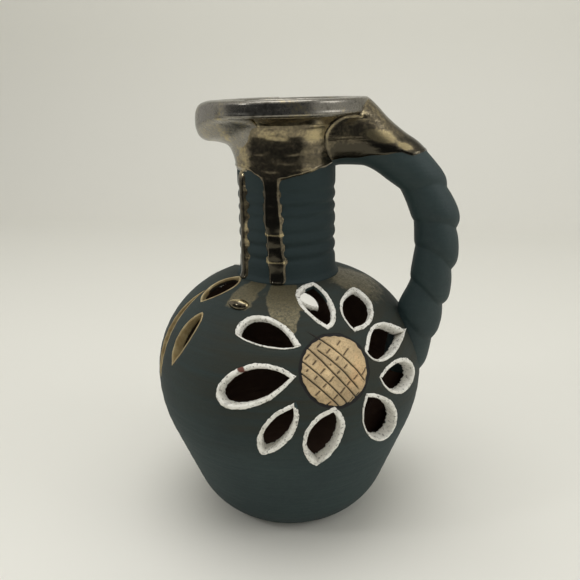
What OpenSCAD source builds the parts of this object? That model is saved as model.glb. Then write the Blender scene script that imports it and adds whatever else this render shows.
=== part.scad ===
// Pierced puzzle jug, sizes in millimetres.
// The foot stands on z = 0, the axis of the jug is Z, the handle is toward +X and the spout toward -X.

/* [Body] */
// outer radius of the body at its widest line
body_radius = 81; // [77:1:86]
// height of the widest line above the table
belly_height = 90; // [87:1:94]
// radius of the shoulder curve
shoulder_arc = 61; // [59:1:64]
// slope of the lower body away from upright, in degrees
lower_slope = 21.5; // [18:0.5:24]
// radius of the curve that turns the lower body in to the foot
foot_arc = 46; // [44:1:54]
// height at which that curve begins
foot_turn = 22; // [18:1:26]
// thickness of the body wall
wall = 6.5; // [5:0.5:8]
// thickness of the floor
floor_thickness = 8; // [6:0.5:12]

/* [Neck] */
// outer radius of the neck
neck_radius = 28.4; // [27:0.2:30]
// thickness of the neck wall
neck_wall = 6; // [5:0.5:7]
// widening of the neck where it stands on the shoulder
neck_root = 1.6; // [1:0.2:2]
// number of throwing grooves round the neck
groove_count = 7; // [4:1:8]
// depth of a throwing groove
groove_depth = 0.6; // [0.3:0.1:0.9]
// radius of the hollow curve under the rim
flare_arc = 14; // [12:0.5:15]

/* [Rim] */
// height of the rim top above the table
jug_height = 250; // [245:1:256]
// height of the rim ring
rim_height = 9.5; // [8.5:0.5:11]
// outer radius of the rim ring
rim_radius = 45.5; // [44.5:0.5:48]
// width of the rim ring, from mouth to outside
rim_width = 12.5; // [11:0.5:13.5]
// rounding of the rim edges
rim_round = 2.6; // [1.5:0.1:3.2]
// radius of the drinking channel inside the rim ring
channel_radius = 2.6; // [2:0.1:3]

/* [Spout] */
// radius of the drinking spout
spout_radius = 11.7; // [11:0.1:12.5]
// distance of the spout end from the jug axis
spout_reach = 53.2; // [51:0.2:56]
// rounding of the spout end
spout_round = 7.5; // [6:0.5:9]
// distance of the spout top below the rim top
spout_dip = 0.4; // [0.2:0.1:1.5]
// radius of the drinking passage through the joints
passage_radius = 2.4; // [1.8:0.2:2.6]

/* [Handle] */
// distance of the grip centre line from the jug axis
handle_reach = 87; // [84:1:91]
// rise of the outermost part of the grip above the middle of the handle
grip_rise = 4.5; // [1:0.5:8]
// distance of the handle root middle below the rim ring
root_drop = 11.5; // [10:0.5:13]
// rise of the handle tail above the widest line
tail_rise = 10; // [7:1:13]
// radius of the handle roll
handle_radius = 12.3; // [11.5:0.1:13]
// thickening of the roll at its upper root
root_swell = 1.8; // [0:0.2:2.4]
// thinning of the roll at its tail
tail_taper = 2.5; // [1:0.5:3.5]
// number of finger-twisted lobes along the handle
lobe_count = 8; // [5:1:10]
// depth of the creases between the lobes
crease_depth = 1.3; // [0.4:0.1:1.8]
// slant of the creases across the roll
crease_slant = 0.45; // [0:0.05:0.7]
// radius of the bore inside the handle
handle_bore = 4; // [3:0.2:5]

/* [Riser tube] */
// outer radius of the tube inside the body
riser_radius = 6; // [5:0.2:7]
// gap between the tube mouth and the floor
riser_gap = 6; // [4:0.5:12]

/* [Flowers] */
// angle of the middle of the front flower above the widest line
flower_lift_angle = 24.8; // [24:0.2:26]
// angle of the front flower away from the handle
flower_angle = 60; // [60:1:63]
// angle of the middle of the back flower above the widest line
back_lift_angle = 29.8; // [29.4:0.2:30.6]
// angle of the back flower away from the handle
back_angle = 124; // [122:1:126]
// distance from the flower middle to the ends of its long petals
flower_radius = 62; // [58:1:63]
// radius of the flower centre
disc_radius = 17.5; // [15:0.5:18]
// height of the flower centre above the body
disc_height = 1.6; // [1.2:0.1:2.4]
// spacing of the hatching on the flower centre
hatch_spacing = 6; // [5:0.5:7]
// width of a hatching cut
hatch_width = 0.8; // [0.6:0.1:1.2]
// depth of a hatching cut
hatch_depth = 0.7; // [0.4:0.1:0.9]
// length of the longest gold leaf
leaf_length = 50; // [44:1:52]
// thickness of the slip that lines a petal
lining = 1.3; // [0.8:0.1:1.6]
// width of the slip border round a petal
border = 1.9; // [1:0.1:2]
// height of the slip border above the body
border_height = 0.8; // [0.5:0.1:1.2]

/* [Glaze] */
// thickness of the glaze on the upper neck
glaze = 0.9; // [0.5:0.1:1.3]
// distance of the lower edge of the glaze below the curve under the rim
glaze_drop = 16.5; // [12:0.5:20]
// width of a glaze run
run_width = 9.5; // [6:0.5:11]
// distance of the end of the glaze runs above the foot of the neck
run_stop = 6; // [5:0.5:20]
// angle of the glaze run at the front of the neck
front_run_angle = -96; // [-100:1:-90]
// angle of the glaze run on the spout side of the neck
side_run_angle = -140; // [-144:1:-134]
// angle of the glaze drop on the shoulder
drop_angle = -111; // [-113:1:-109]
// angle of the drop above the widest line
drop_lift_angle = 60; // [59:1:62]
// radius of the glaze drop
drop_radius = 4.5; // [3:0.5:5]

/* [Hidden] */
$fn = 64;
// what is cut away reaches this far, past the whole part
big = 400;
// short cuts run this far past the face that they open
over = 1;
// small step along a curve or between two faces
eps = 0.02;
// each hand-cut petal of a flower: its direction from the flower middle, the distance of its middle,
// its tilt away from that direction, its length and its width, the sizes as shares of flower_radius
petals = [
    [91, 0.64, 4, 0.5, 0.26], [52, 0.64, 18, 0.42, 0.3], [9.5, 0.66, -6, 0.58, 0.25],
    [-18, 0.78, 2, 0.54, 0.26], [-50, 0.72, -16, 0.54, 0.29], [-102, 0.61, 2, 0.54, 0.29],
    [-137, 0.71, 18, 0.52, 0.21], [-171, 0.72, 8, 0.69, 0.29], [145, 0.64, 33, 0.51, 0.23]
];
// turn of the back flower about its middle, and its size as a share of the front flower
back_turn = -27;
back_share = 0.97;
// each flower: its angle from the handle, its angle above the widest line, its turn and its share
flowers = [[-flower_angle, flower_lift_angle, 0, 1], [back_angle, back_lift_angle, back_turn, back_share]];
// each gold leaf: its angle from the spout, its angle above the widest line, its tilt from level,
// its length and its width, the sizes as shares of leaf_length
leaves = [
    [23, 30, 102, 1, 0.18], [38.5, 66, 120, 0.56, 0.26], [46, 33.5, 103, 0.62, 0.21]
];
// length of the pointed blade that an end arc shortens to a petal, as a share of the petal
petal_taper = 1.22;
// place of the middle of that end arc along the petal
petal_end = 0.45;
// a petal cut reaches this far past the wall on both sides
petal_reach = 8;
// angle of the hatching, and between its two ways
hatch_angle = -40;
cross_angle = 90;
// shift of the hatching off the middle, as a share of its spacing
hatch_shift = 0.3;
// hollow of a throwing groove
groove_radius = 4;
// plain neck below the grooves
groove_low = 8;
// plain neck above the grooves
groove_high = 4;
// height of the curve under the rim at which the mouth begins to open
mouth_rise = 4;
// bulge at the end of a glaze run
run_bulge = 1.12;
// plain strip between the glaze and the joints of the neck
glaze_gap = 1;
// plain strip between the glaze and the handle
handle_room = 2;
// the handle leaves its root outward, a little upward
root_pull = [38, 2];
// straightness of the grip above and below its outermost point
grip_pull = [0, 36];
tail_pull = [0, 25];
// way back from the grip at which the tail turns in
tail_bend = [7, 41];
// the handle begins inside the neck wall and ends inside the body wall
root_depth = 4.5;
tail_depth = 11;
// along the handle, from 0 at its root to 2 at its tail: where the swell ends and the taper begins
swell_end = 0.5;
taper_start = 1.4;
// length over which the creases fade in at the root
crease_fade = 0.35;
// sharpness of the creases
crease_sharp = 3;
// steps along the handle, round it and down the foot curve
handle_steps = 56;
handle_sides = 16;
foot_steps = 8;
// room between the tube and the lower wall
riser_clear = 7;
// the tube meets the wall behind the handle tail
riser_rise = 14;
riser_out = 1;
// the passage runs on past the tube, up into the handle bore and down out of the tube mouth
passage_over = 22;
passage_under = 4;
// the spout passage opens this far outside the spout end
mouth_lead = 4;
// drop of the passages at the spout end and at the handle root
mouth_drop = 3;

shoulder_in = body_radius - shoulder_arc;
// belly, cone and foot curve share their tangents
cone_in = cos(lower_slope);
cone_down = sin(lower_slope);
cone_top = [body_radius * cone_in, belly_height - body_radius * cone_down];
foot_point = [cone_top[0] - (cone_top[1] - foot_turn) * tan(lower_slope), foot_turn];
foot_centre = [foot_point[0] - foot_arc * cone_in, foot_turn + foot_arc * cone_down];
neck_bore = neck_radius - neck_wall;
root_radius = neck_radius + neck_root;
seat_height = belly_height + sqrt(pow(shoulder_arc, 2) - pow(root_radius - shoulder_in, 2));
rim_bottom = jug_height - rim_height;
mouth_radius = rim_radius - rim_width;
rim_middle = [rim_radius - rim_width / 2, rim_bottom + rim_height / 2];
flare_start = rim_bottom - flare_arc;
flare_outer = neck_radius + flare_arc;
spout_height = jug_height - spout_dip - spout_radius;
glaze_edge = flare_start - glaze_drop;
run_end = seat_height + run_stop;
handle_start = [neck_radius - root_depth, rim_bottom - root_drop];
handle_end = [body_radius - tail_depth, belly_height + tail_rise];
handle_middle = [handle_reach, (handle_start[1] + handle_end[1]) / 2 + grip_rise];
riser_top = [handle_end[0] + riser_out, belly_height + riser_rise];
riser_foot = [foot_point[0] - wall - riser_radius - riser_clear, floor_thickness + riser_gap];
riser_line = (riser_top - riser_foot) / norm(riser_top - riser_foot);
groove_first = seat_height + groove_low;
groove_pitch = (flare_start - groove_high - groove_first) / groove_count;

// half of the body outline, drawn smaller by inset: what lies outside each curve is cut away
module body_half(inset, top) {
    belly = body_radius - inset;
    turn = foot_arc - inset;
    cone_z = belly_height - belly * cone_down;
    low = asin(min(1, (foot_centre[1] + over) / turn));
    foot_line = [for (k = [0:foot_steps])
        let (a = lower_slope + (low - lower_slope) * k / foot_steps)
        [foot_centre[0] + turn * cos(a), foot_centre[1] - turn * sin(a)]];
    difference() {
        square([big, top]);
        difference() {
            translate([0, belly_height]) square([2 * big, big]);
            translate([shoulder_in, belly_height]) circle(shoulder_arc - inset);
        }
        difference() {
            translate([0, cone_z]) square([2 * big, belly_height - cone_z]);
            translate([0, belly_height]) circle(belly);
        }
        polygon(concat([[2 * big, cone_z], [belly * cone_in, cone_z]], foot_line, [[2 * big, -over]]));
    }
}

module body_solid() {
    rotate_extrude() body_half(0, seat_height);
}

// shell between two distances from the outer face of the body
module skin(below, above) {
    rotate_extrude() difference() {
        body_half(-above, seat_height - eps);
        body_half(below, seat_height);
        square([big, foot_turn]);
    }
}

// outside of the neck, filled to the axis
module neck_half() {
    difference() {
        union() {
            translate([0, seat_height]) square([neck_radius, rim_bottom - seat_height]);
            translate([0, seat_height]) square([root_radius, neck_root]);
            translate([0, flare_start]) square([flare_outer, flare_arc]);
        }
        translate([flare_outer, flare_start]) circle(flare_arc);
        translate([root_radius, seat_height + neck_root]) circle(neck_root);
        for (i = [1:groove_count]) {
            translate([neck_radius + groove_radius - groove_depth, groove_first + (i - 0.5) * groove_pitch])
                circle(groove_radius);
        }
    }
}

// outside of the rim ring, filled to the axis
module rim_half() {
    translate([0, rim_bottom]) square([rim_radius - rim_round, rim_height]);
    translate([0, rim_bottom + rim_round]) square([rim_radius, rim_height - 2 * rim_round]);
    for (z = [rim_bottom + rim_round, jug_height - rim_round]) {
        translate([rim_radius - rim_round, z]) circle(rim_round);
    }
}

// a straight round bar between two points of the plane of the handle
module bar(from, to, radius) {
    run = to - from;
    translate([from[0], 0, from[1]]) rotate([0, 90 - atan2(run[1], run[0]), 0])
        cylinder(r = radius, h = norm(run));
}

// drinking passages through the joints
module spout_passage() {
    outside = [-spout_reach - mouth_lead, spout_height - mouth_drop];
    bar(outside, [-rim_middle[0], rim_middle[1]], passage_radius);
}

module handle_passage() {
    bar([rim_middle[0], handle_start[1] - mouth_drop], rim_middle, passage_radius);
}

module wall_passage() {
    bar(riser_foot - passage_under * riser_line, riser_top + passage_over * riser_line, passage_radius);
}

// places on the body: latitude counts up from the widest line
function arc_at(up) = up >= 0 ? shoulder_arc : body_radius;
function latitude(rise) = rise / arc_at(rise) * 180 / PI;
function rise_of(lat) = lat * PI / 180 * arc_at(lat);
function out_at(lat) = body_radius - arc_at(lat) + arc_at(lat) * cos(lat);
function height_at(lat) = belly_height + arc_at(lat) * sin(lat);

module on_body(angle, lat) {
    rotate([0, 0, angle]) translate([out_at(lat), 0, height_at(lat)]) rotate([0, 90 - lat, 0])
        rotate([0, 0, 90]) children();
}

// pointed inside, rounded outside: two side arcs and an end arc
module petal_outline(length, width, grow) {
    blade = petal_taper * length;
    side = (blade * blade + width * width) / (4 * width);
    intersection() {
        translate([(blade - length) / 2, side - width / 2]) circle(side + grow);
        translate([(blade - length) / 2, width / 2 - side]) circle(side + grow);
        translate([-length * (0.5 - petal_end), 0]) circle(length * (1 - petal_end) + grow);
    }
}

// what a petal or a leaf takes out of the wall, straight along the wall's own direction at its middle
module wall_cut() {
    depth = wall + petal_reach;
    translate([0, 0, -depth]) linear_extrude(2 * depth) children();
}

module flower_cuts(grow) {
    for (f = flowers) for (p = petals) {
        size = f[3] * flower_radius;
        way = f[2] + p[0];
        lat = latitude(rise_of(f[1]) + p[1] * size * sin(way));
        side_angle = p[1] * size * cos(way) / out_at(lat) * 180 / PI;
        on_body(f[0] + side_angle, lat) rotate([0, 0, way + p[2]]) wall_cut()
            petal_outline(p[3] * size, p[4] * size, grow);
    }
}

// pointed at both ends: two side arcs
module leaf_outline(length, width, grow) {
    side = (length * length + width * width) / (4 * width);
    intersection() {
        translate([0, side - width / 2]) circle(side + grow);
        translate([0, width / 2 - side]) circle(side + grow);
    }
}

module leaf_cuts(grow) {
    for (p = leaves) {
        on_body(180 + p[0], p[1]) rotate([0, 0, p[2]]) wall_cut()
            leaf_outline(p[3] * leaf_length, p[4] * leaf_length, grow);
    }
}

module body() {
    color("darkslategray") difference() {
        rotate_extrude() difference() {
            body_half(0, seat_height);
            intersection() {
                body_half(wall, big);
                translate([0, floor_thickness]) square(big);
            }
            translate([0, belly_height]) square([neck_bore, big]);
        }
        flower_cuts(0);
        leaf_cuts(0);
        wall_passage();
    }
}

module neck() {
    color("slategray") difference() {
        rotate_extrude() difference() {
            neck_half();
            square([neck_bore, big]);
            polygon([
                [0, flare_start + mouth_rise], [neck_bore, flare_start + mouth_rise],
                [mouth_radius, rim_bottom], [mouth_radius, big], [0, big]
            ]);
        }
        handle_passage();
    }
}

// rounding of the mouth edge
module mouth_round() {
    translate([mouth_radius, jug_height - rim_round]) difference() {
        translate([-over, 0]) square(rim_round + over);
        translate([rim_round, 0]) circle(rim_round);
    }
}

module rim_ring() {
    color("saddlebrown") difference() {
        rotate_extrude() difference() {
            rim_half();
            square([mouth_radius, big]);
            translate(rim_middle) circle(channel_radius);
            mouth_round();
        }
        spout_passage();
        handle_passage();
    }
}

module drinking_spout() {
    color("sienna") difference() {
        translate([0, 0, spout_height]) rotate([0, -90, 0]) rotate_extrude() intersection() {
            union() {
                square([spout_radius, spout_reach - spout_round]);
                square([spout_radius - spout_round, spout_reach]);
                translate([spout_radius - spout_round, spout_reach - spout_round]) circle(spout_round);
            }
            square([spout_radius, spout_reach]);
        }
        rotate_extrude() neck_half();
        rotate_extrude() rim_half();
        spout_passage();
    }
}

// centre line of the handle as two smooth curves that meet at the grip, t from 0 to 2
function bend(a, b, c, d, t) =
    pow(1 - t, 3) * a + 3 * pow(1 - t, 2) * t * b + 3 * (1 - t) * t * t * c + pow(t, 3) * d;
function handle_point(t) = t <= 1
    ? bend(handle_start, handle_start + root_pull, handle_middle + grip_pull, handle_middle, t)
    : bend(handle_middle, handle_middle - tail_pull, handle_middle - tail_bend, handle_end, t - 1);
function handle_ahead(t) =
    let (d = handle_point(min(t + eps, 2)) - handle_point(max(t - eps, 0))) d / norm(d);
// creases close the roll in, slanted across it and fading out at the root
function crease(t, angle) =
    let (wave = (1 + cos(360 * (lobe_count * t / 2 - crease_slant * cos(angle)))) / 2)
    min(1, t / crease_fade) * pow(wave, crease_sharp);
function swell(t) = root_swell * pow(max(0, 1 - t / swell_end), 2);
function thinning(t) = tail_taper * pow(max(0, t - taper_start) / (2 - taper_start), 2);
function roll_radius(t, angle) = handle_radius + swell(t) - thinning(t) - crease_depth * crease(t, angle);
function handle_ring(t, radius, angle) =
    let (c = handle_point(t), d = handle_ahead(t))
    [c[0] - radius * cos(angle) * d[1], radius * sin(angle), c[1] + radius * cos(angle) * d[0]];

module handle_roll() {
    n = handle_sides;
    last = handle_steps;
    outside = [for (i = [0:last]) for (j = [0:n - 1])
        handle_ring(2 * i / last, roll_radius(2 * i / last, 360 * j / n), 360 * j / n)];
    inside = [for (i = [0:last]) for (j = [0:n - 1]) handle_ring(2 * i / last, handle_bore, 360 * j / n)];
    step = (last + 1) * n;
    side = [for (i = [0:last - 1]) for (j = [0:n - 1])
        [i * n + j, i * n + (j + 1) % n, (i + 1) * n + (j + 1) % n, (i + 1) * n + j]];
    skin = [for (f = side) for (k = [0:1]) k == 0 ? [f[0], f[1], f[2]] : [f[0], f[2], f[3]]];
    core = [for (f = skin) [f[0] + step, f[2] + step, f[1] + step]];
    ends = [for (i = [0, last]) for (j = [0:n - 1]) for (k = [0:1])
        let (a = i * n + j, b = i * n + (j + 1) % n, turned = i == 0)
        k == 0 ? (turned ? [a, a + step, b] : [a, b, a + step])
               : (turned ? [b, a + step, b + step] : [b, b + step, a + step])];
    polyhedron(concat(outside, inside), concat(skin, core, ends), convexity = 8);
}

module handle() {
    color("cadetblue") difference() {
        handle_roll();
        rotate_extrude() neck_half();
        rotate_extrude() rim_half();
        body_solid();
        handle_passage();
        wall_passage();
    }
}

module riser_tube() {
    color("peru") difference() {
        intersection() {
            bar(riser_foot, riser_top + passage_over * riser_line, riser_radius);
            rotate_extrude() body_half(wall, seat_height);
        }
        wall_passage();
    }
}

// lines cut across the flower centre both ways
module hatching() {
    lines = floor(disc_radius / hatch_spacing);
    for (turn = [hatch_angle, hatch_angle + cross_angle]) {
        rotate([0, 0, turn]) for (i = [-lines:lines]) {
            translate([-big / 2, (i + hatch_shift) * hatch_spacing, -petal_reach])
                cube([big, hatch_width, 2 * petal_reach]);
        }
    }
}

module flower_centre(f) {
    difference() {
        intersection() {
            on_body(f[0], f[1])
                translate([0, 0, -petal_reach]) cylinder(r = disc_radius, h = 2 * petal_reach);
            skin(0, disc_height);
        }
        intersection() {
            on_body(f[0], f[1]) intersection() {
                rotate([0, 0, f[2]]) hatching();
                translate([0, 0, -petal_reach]) cylinder(r = disc_radius + over, h = 2 * petal_reach);
            }
            skin(hatch_depth - disc_height, disc_height + over);
        }
    }
}

module flower_centres() {
    color("burlywood") for (f = flowers) flower_centre(f);
}

// slip on the cut walls of the openings and in a border round them:
// children are the openings drawn larger by the border, as cut, and smaller by the lining
module linings() {
    difference() {
        union() {
            intersection() {
                children(0);
                skin(0, border_height);
            }
            intersection() {
                children(1);
                skin(wall, 0);
            }
        }
        children(2);
    }
}

module white_linings() {
    color("whitesmoke") linings() {
        flower_cuts(border);
        flower_cuts(0);
        flower_cuts(-lining);
    }
}

module gold_linings() {
    color("goldenrod") linings() {
        leaf_cuts(border);
        leaf_cuts(0);
        leaf_cuts(-lining);
    }
}

// a run seen from outside: a straight stem that ends in a bulge
module glaze_run(angle) {
    low = run_end + run_width / 2;
    rotate([0, 0, angle]) translate([0, 0, low]) rotate([90, 0, 90]) linear_extrude(big) {
        circle(d = run_width * run_bulge);
        translate([-run_width / 2, 0]) square([run_width, glaze_edge - run_end]);
    }
}

// glaze round the neck, its lower side lying in the throwing grooves
module glaze_sleeve() {
    low = seat_height + neck_root + glaze_gap;
    rotate_extrude() difference() {
        translate([0, low]) square([neck_radius + glaze, flare_start - glaze_gap - low]);
        neck_half();
    }
}

module glaze_runs() {
    room = handle_radius + root_swell + handle_room;
    color("darkgoldenrod") {
        difference() {
            intersection() {
                glaze_sleeve();
                union() {
                    translate([-big, -big, glaze_edge]) cube(2 * big);
                    glaze_run(front_run_angle);
                    glaze_run(side_run_angle);
                }
            }
            translate([0, -room, 0]) cube([big, 2 * room, big]);
        }
        difference() {
            on_body(drop_angle, drop_lift_angle) sphere(drop_radius);
            body_solid();
        }
    }
}

body();
neck();
rim_ring();
drinking_spout();
handle();
riser_tube();
flower_centres();
white_linings();
gold_linings();
glaze_runs();
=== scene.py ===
import math
import bpy
import numpy as np
from mathutils import Matrix, Vector
from mathutils.geometry import delaunay_2d_cdt


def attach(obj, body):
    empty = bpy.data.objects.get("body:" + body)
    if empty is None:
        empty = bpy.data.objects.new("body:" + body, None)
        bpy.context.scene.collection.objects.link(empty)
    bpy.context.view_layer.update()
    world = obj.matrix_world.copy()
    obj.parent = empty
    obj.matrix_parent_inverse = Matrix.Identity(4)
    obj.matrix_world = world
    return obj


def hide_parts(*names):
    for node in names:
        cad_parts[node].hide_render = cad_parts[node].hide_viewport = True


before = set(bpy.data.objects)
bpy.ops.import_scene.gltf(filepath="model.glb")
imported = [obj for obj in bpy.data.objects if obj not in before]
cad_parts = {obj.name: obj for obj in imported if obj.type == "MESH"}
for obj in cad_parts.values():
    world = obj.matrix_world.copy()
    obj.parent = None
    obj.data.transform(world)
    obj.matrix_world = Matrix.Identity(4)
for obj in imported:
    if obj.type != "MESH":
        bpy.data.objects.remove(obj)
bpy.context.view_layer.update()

# Pierced puzzle jug. Lengths below are millimetres, angles are degrees from the handle, counted from above.
mm = 0.001
tau = 2 * math.pi
rad = math.pi / 180


# eased step: 0 below low, 1 above high, a cubic between
def ease(x, low, high):
    t = np.clip((x - low) / (high - low), 0, 1)
    return t * t * (3 - 2 * t)


# eased patch: 1 within half of zero, 0 beyond half plus soft
def within(x, half, soft):
    return 1 - ease(np.abs(x), half, half + soft)


# hand wobble: mean of sines with whole counts round the angle and drawn phases
def wobble(angle, counts, seed):
    phases = np.random.default_rng(seed).uniform(0, tau, len(counts))
    return sum(np.sin(k * angle + p) for k, p in zip(counts, phases)) / len(counts)


# smooth line through knots: cubic with the slope at a knot taken from its neighbours
def throughKnots(knots, count):
    k = np.asarray(knots, float)
    k = np.concatenate([2 * k[:1] - k[1:2], k, 2 * k[-1:] - k[-2:-1]])
    t = np.linspace(0, len(k) - 3, count)
    i = np.minimum(t.astype(int), len(k) - 4)
    f = (t - i).reshape(-1, *[1] * (k.ndim - 1))
    a, b, c, d = k[i], k[i + 1], k[i + 2], k[i + 3]
    return b + f * ((c - a) / 2 + f * (a - 2.5 * b + 2 * c - d / 2 + f * (1.5 * (b - c) + (d - a) / 2)))


# even spacing along a closed or open line of points
def evenSteps(line, count, closed=False):
    p = np.vstack([line, line[:1]]) if closed else line
    s = np.concatenate([[0], np.cumsum(np.linalg.norm(np.diff(p, axis=0), axis=1))])
    t = np.linspace(0, s[-1], count, endpoint=not closed)
    return np.column_stack([np.interp(t, s, p[:, k]) for k in range(p.shape[1])])


# quads between neighbours of a grid of points, either way round closed or open
def gridQuads(rows, cols, closeRows=False, closeCols=True):
    i, j = np.meshgrid(np.arange(rows - (not closeRows)), np.arange(cols - (not closeCols)), indexing="ij")
    i2, j2 = (i + 1) % rows, (j + 1) % cols
    return np.stack([i * cols + j, i * cols + j2, i2 * cols + j2, i2 * cols + j], -1).reshape(-1, 4)


# fan of triangles from a ring of points to one point
def fan(ring, tip):
    return np.column_stack([ring, np.roll(ring, -1), np.full(len(ring), tip)])


# edges that only one face has, as pairs of points in that face's order
def openEdges(faces, count):
    sides = faces.shape[1]
    ways = np.vstack([faces[:, [k, (k + 1) % sides]] for k in range(sides)])
    key = np.sort(ways, 1) @ np.array([count, 1])
    _, index, uses = np.unique(key, return_inverse=True, return_counts=True)
    return ways[uses[index.ravel()] == 1]


# points at a radius, an angle in radians and a height round the axis
def roundAxis(r, a, z):
    return np.stack(np.broadcast_arrays(r * np.cos(a), r * np.sin(a), z), -1)


# a profile of (r, z) turned round the axis
def turned(profile, cols):
    a = np.arange(cols) * tau / cols
    return roundAxis(profile[:, :1], a, profile[:, 1:]).reshape(-1, 3)


# quads between open edges of a surface and the same edges of its copy, whose points come count later
def shellWalls(ways, count):
    i, j = ways.T
    return np.column_stack([j, i, i + count, j + count])


# six times the volume inside faces fanned from their first corners, to tell outside from inside
def signedVolume(points, faceSets):
    total = 0
    for f in faceSets:
        for k in range(1, f.shape[1] - 1):
            a, b, c = points[f[:, 0]], points[f[:, k]], points[f[:, k + 1]]
            total += np.einsum("ij,ij->", a, np.cross(b, c))
    return total


# mesh of points and sets of faces, turned outward, with a number at each point for every mark
def makePiece(name, points, faceSets, materials, nodes, faceMaterial=None, marks=None):
    if signedVolume(points, faceSets) < 0:
        faceSets = [f[:, ::-1] for f in faceSets]
    corners = np.concatenate([f.ravel() for f in faceSets]).astype(np.int32)
    sizes = np.concatenate([np.full(len(f), f.shape[1]) for f in faceSets])
    starts = np.concatenate([[0], np.cumsum(sizes)[:-1]]).astype(np.int32)
    mesh = bpy.data.meshes.new(name)
    mesh.vertices.add(len(points))
    mesh.vertices.foreach_set("co", (points * mm).astype(np.float32).ravel())
    mesh.loops.add(len(corners))
    mesh.loops.foreach_set("vertex_index", corners)
    mesh.polygons.add(len(sizes))
    mesh.polygons.foreach_set("loop_start", starts)
    if faceMaterial is not None:
        mesh.polygons.foreach_set("material_index", faceMaterial.astype(np.int32))
    mesh.polygons.foreach_set("use_smooth", np.ones(len(sizes), bool))
    for mark, values in (marks or {}).items():
        layer = mesh.attributes.new(mark, "FLOAT", "POINT")
        layer.data.foreach_set("value", values.astype(np.float32))
    mesh.update(calc_edges=True)
    mesh.validate()
    piece = bpy.data.objects.new(name, mesh)
    bpy.context.scene.collection.objects.link(piece)
    for material in materials:
        mesh.materials.append(material)
    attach(piece, "root")
    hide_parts(*nodes)
    print(name, len(points), "points", int((sizes - 2).sum()), "triangles")


# Body surface: belly and shoulder arcs, a straight lower side and a foot curve that share their tangents

jugBody = dict(
    belly=81, bellyHeight=90, shoulder=61, slope=21.5, footArc=46, footTurn=22, top=22.4, worn=1.3,
    wornHigh=1.6, wall=6.2, thinned=3.2, thinFrom=118, thinTo=142, floor=8, underside=0.4, step=2.6,
    edgeGap=1.2, lines=0.09, uneven=0.25, ridges=0.30, brownAndShadeFrom=55, brownAndShadeTo=105, brownAndShadeAngle=-56)


# outline of (r, z) from the foot to the neck: each arc is its middle plus a radius turned through an angle
def bodyOutline(b):
    slope = b["slope"] * rad
    coneTop = (b["belly"] * math.cos(slope), b["bellyHeight"] - b["belly"] * math.sin(slope))
    footR = coneTop[0] - (coneTop[1] - b["footTurn"]) * math.tan(slope)
    footMiddle = (footR - b["footArc"] * math.cos(slope), b["footTurn"] + b["footArc"] * math.sin(slope))
    low = math.asin(footMiddle[1] / b["footArc"])
    inner = b["belly"] - b["shoulder"]
    top = math.acos((b["top"] - inner) / b["shoulder"])
    arcs = [(footMiddle, b["footArc"], -low, -slope), ((0, b["bellyHeight"]), b["belly"], -slope, 0),
            ((inner, b["bellyHeight"]), b["shoulder"], 0, top)]
    parts = []
    for middle, r, first, last in arcs:
        a = np.linspace(first, last, 120)
        parts.append(np.column_stack([middle[0] + r * np.cos(a), middle[1] + r * np.sin(a)]))
    line = evenSteps(np.vstack(parts), 900)
    line[:, 0] -= b["worn"] * np.clip(1 - line[:, 1] / b["wornHigh"], 0, 1) ** 2  # worn foot edge
    return line


outline = bodyOutline(jugBody)
along = np.concatenate([[0], np.cumsum(np.linalg.norm(np.diff(outline, axis=0), axis=1))])
bodyLength = along[-1]
slopeR, slopeZ = np.gradient(outline[:, 0], along), np.gradient(outline[:, 1], along)
slopeSize = np.hypot(slopeR, slopeZ)


# radius of the outline at a distance up it
def bodyRadius(s):
    return np.interp(s, along, outline[:, 0])


# distance up the outline at a height
def upTo(z):
    return np.interp(z, outline[:, 1], along)


# point at angle (radians), distance s up the outline and height above the surface, with faint throwing lines
def bodyPoint(angle, s, height):
    nr, nz = np.interp(s, along, slopeZ / slopeSize), -np.interp(s, along, slopeR / slopeSize)
    lines = np.sin(0.82 * s + 0.7 * np.sin(angle + 1)) * ease(s, 15, 45) * (1 - ease(s, 130, 150))
    r = bodyRadius(s) + height * nr + jugBody["lines"] * lines
    r = r + jugBody["uneven"] * wobble(angle, (2, 3, 5), 4) * ease(s, 10, 60)
    z = np.interp(s, along, outline[:, 1]) + height * nz
    return roundAxis(r, angle, z)


# thickness of the wall at a distance up the outline: thinner toward the neck, as a pot is drawn up
def wallAt(s):
    share = ease(s, upTo(jugBody["thinFrom"]), upTo(jugBody["thinTo"]))
    return jugBody["wall"] - jugBody["thinned"] * share


# Openings: each row gives the inner tip and outer end of the lined border in millimetres east and up from
# the middle of the motif, place and width of the widest point on its left and right side, how sharp tip and
# end are, and the direction in which the border is thin.
# Each spot of a motif: angle of its middle, its height, its turn and its size

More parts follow.
